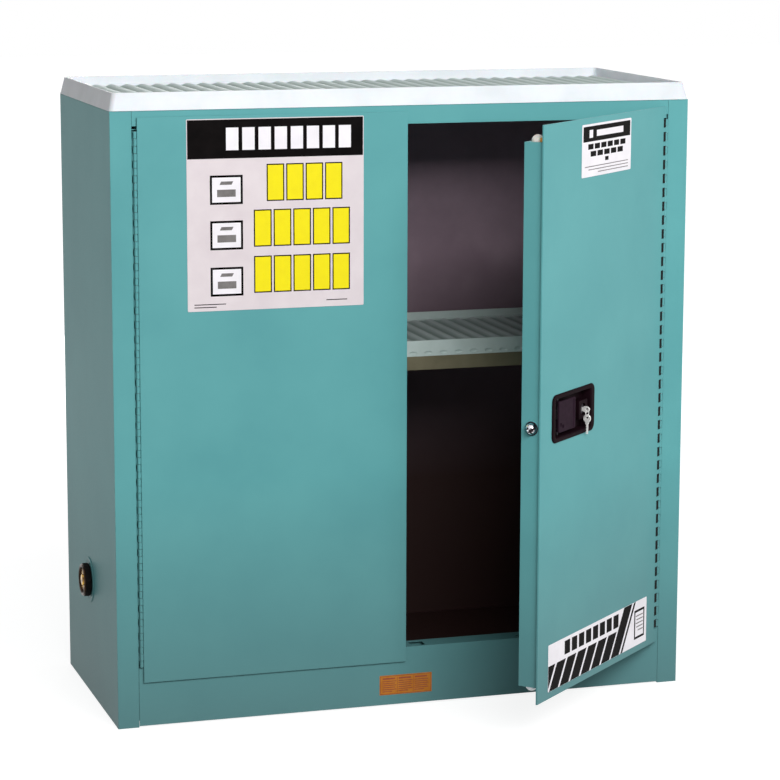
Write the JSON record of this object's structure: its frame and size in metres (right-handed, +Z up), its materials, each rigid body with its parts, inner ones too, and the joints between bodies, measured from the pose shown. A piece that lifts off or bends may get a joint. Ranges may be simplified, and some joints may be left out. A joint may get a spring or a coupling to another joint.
{
  "type": "storage_cabinet",
  "caption": "Teal double-walled steel corrosive storage cabinet, two hinged doors with a recessed latch handle, a shelf and ribbed trays",
  "frame": {"origin": "centre of the cabinet's footprint, on the floor it stands on", "axes": "+X to the right as seen from the front, -Y towards the front with the doors, +Z up"},
  "size_m": [1.1244, 0.8008, 1.1495],
  "materials": {
    "paint": "satin teal powder coat",
    "inner_paint": "dark satin powder coat",
    "zinc": "zinc-plated steel",
    "chrome": "bright chrome",
    "dark_steel": "dark steel",
    "black_metal": "black satin cast metal",
    "black_plastic": "black moulded plastic",
    "grey_steel": "grey coated steel",
    "polyethylene": "pale moulded polyethylene",
    "white_plate": "white plate",
    "orange_plate": "orange plate"
  },
  "bodies": {
    "cabinet": {"side_panel_left": "paint", "side_panel_right": "paint", "back_panel": "paint", "top_panel": "paint", "header_rail": "paint", "sill_rail": "paint", "sill_plate": "orange_plate", "base_pan": "paint", "liner_left": "inner_paint", "liner_right": "inner_paint", "liner_back": "inner_paint", "liner_top": "inner_paint", "sump_pan": "inner_paint", "wall_frame": "zinc", "vent_left_fitting": "paint", "vent_right_fitting": "paint", "standard_left_front": "zinc", "standard_left_back": "zinc", "standard_right_front": "zinc", "standard_right_back": "zinc", "shelf_ledge_left": "zinc", "shelf_ledge_right": "zinc", "left_hinge_fixed_leaf": "paint", "left_hinge_pin": "zinc", "right_hinge_fixed_leaf": "paint", "right_hinge_pin": "zinc"},
    "left_door": {"left_hinge_door_leaf": "paint", "left_door_skin": "paint", "left_door_pan": "paint", "left_door_stiffener": "zinc", "left_door_plate": "white_plate"},
    "right_door": {"right_hinge_door_leaf": "paint", "right_door_skin": "paint", "right_door_pan": "paint", "right_door_stiffener": "zinc", "right_door_upper_plate": "white_plate", "right_door_lower_plate": "white_plate", "handle_tray": "black_metal", "paddle_pin": "zinc", "paddle_spring": "zinc", "lock_barrel": "chrome"},
    "paddle_lever": {"paddle": "black_plastic"},
    "rocker_plate": {"rocker": "zinc"},
    "top_bolt": {"top_rod": "zinc"},
    "bottom_bolt": {"bottom_rod": "zinc"},
    "bullet_plunger": {"bullet": "chrome"},
    "lock_core": {"lock_plug": "chrome", "lock_cam": "zinc", "key": "zinc"},
    "spare": {"key_ring": "zinc", "spare_key": "zinc"},
    "shelf_board": {"shelf": "grey_steel"},
    "shelf_tray_body": {"shelf_tray": "polyethylene"},
    "top_tray_body": {"top_tray": "polyethylene"},
    "left_vent_cap": {"vent_left_cap": "chrome"},
    "right_vent_cap": {"vent_right_cap": "chrome"},
    "front_left_foot": {"foot_front_left": "dark_steel"},
    "front_right_foot": {"foot_front_right": "dark_steel"},
    "back_left_foot": {"foot_back_left": "dark_steel"},
    "back_right_foot": {"foot_back_right": "dark_steel"}
  },
  "joints": [
    {"name": "left_door_swing", "type": "hinge", "parent": "cabinet", "child": "left_door", "pos_m": [-0.502, -0.2315, 0.598], "axis": [0, 0, -1], "range_deg": [0, 180]},
    {"name": "right_door_swing", "type": "hinge", "parent": "cabinet", "child": "right_door", "pos_m": [0.502, -0.2315, 0.598], "axis": [0, 0, 1], "range_deg": [-42.5, 137.5]},
    {"name": "paddle_pull", "type": "hinge", "parent": "right_door", "child": "paddle_lever", "pos_m": [0.18763, -0.5098, 0.589], "axis": [0, 0, -1], "range_deg": [0, 35], "stiffness_Nm_per_rad": 0.15, "springref_deg": -20.05},
    {"name": "rocker_turn", "type": "hinge", "parent": "right_door", "child": "rocker_plate", "pos_m": [0.17827, -0.4922, 0.589], "axis": [0.6756, -0.7373, 0], "range_deg": [0, 40]},
    {"name": "top_rod_slide", "type": "slide", "parent": "right_door", "child": "top_bolt", "axis": [0, 0, -1], "range_m": [0, 0.0149]},
    {"name": "bottom_rod_slide", "type": "slide", "parent": "right_door", "child": "bottom_bolt", "axis": [0, 0, 1], "range_m": [0, 0.016]},
    {"name": "bullet_slide", "type": "slide", "parent": "right_door", "child": "bullet_plunger", "axis": [0.7373, 0.6756, 0], "range_m": [0, 0.009]},
    {"name": "lock_turn", "type": "hinge", "parent": "right_door", "child": "lock_core", "pos_m": [0.25821, -0.45761, 0.589], "axis": [0.6756, -0.7373, 0], "range_deg": [0, 90]},
    {"name": "spare_key_swing", "type": "hinge", "parent": "lock_core", "child": "spare", "pos_m": [0.26287, -0.4627, 0.589], "axis": [-0.7373, -0.6756, 0], "range_deg": [-1, 75]},
    {"name": "shelf_lift", "type": "slide", "parent": "cabinet", "child": "shelf_board", "axis": [0, 0, 1], "range_m": [0, 0.08]},
    {"name": "shelf_tray_lift", "type": "slide", "parent": "shelf_board", "child": "shelf_tray_body", "axis": [0, 0, 1], "range_m": [0, 0.12]},
    {"name": "top_tray_lift", "type": "slide", "parent": "cabinet", "child": "top_tray_body", "axis": [0, 0, 1], "range_m": [0, 0.15]},
    {"name": "vent_left_cap_out", "type": "slide", "parent": "cabinet", "child": "left_vent_cap", "axis": [-1, 0, 0], "range_m": [0, 0.03]},
    {"name": "vent_right_cap_out", "type": "slide", "parent": "cabinet", "child": "right_vent_cap", "axis": [1, 0, 0], "range_m": [0, 0.03]},
    {"name": "foot_front_left_down", "type": "slide", "parent": "cabinet", "child": "front_left_foot", "axis": [0, 0, -1], "range_m": [0, 0.02]},
    {"name": "foot_front_right_down", "type": "slide", "parent": "cabinet", "child": "front_right_foot", "axis": [0, 0, -1], "range_m": [0, 0.02]},
    {"name": "foot_back_left_down", "type": "slide", "parent": "cabinet", "child": "back_left_foot", "axis": [0, 0, -1], "range_m": [0, 0.02]},
    {"name": "foot_back_right_down", "type": "slide", "parent": "cabinet", "child": "back_right_foot", "axis": [0, 0, -1], "range_m": [0, 0.02]}
  ],
  "couplings": [
    {"joint": "paddle_pull", "follows": "top_rod_slide", "rad_per_m": 40.98},
    {"joint": "rocker_turn", "follows": "top_rod_slide", "rad_per_m": 40.98},
    {"joint": "bottom_rod_slide", "follows": "top_rod_slide", "ratio": 1},
    {"joint": "bullet_slide", "follows": "top_rod_slide", "ratio": 0.5287}
  ]
}
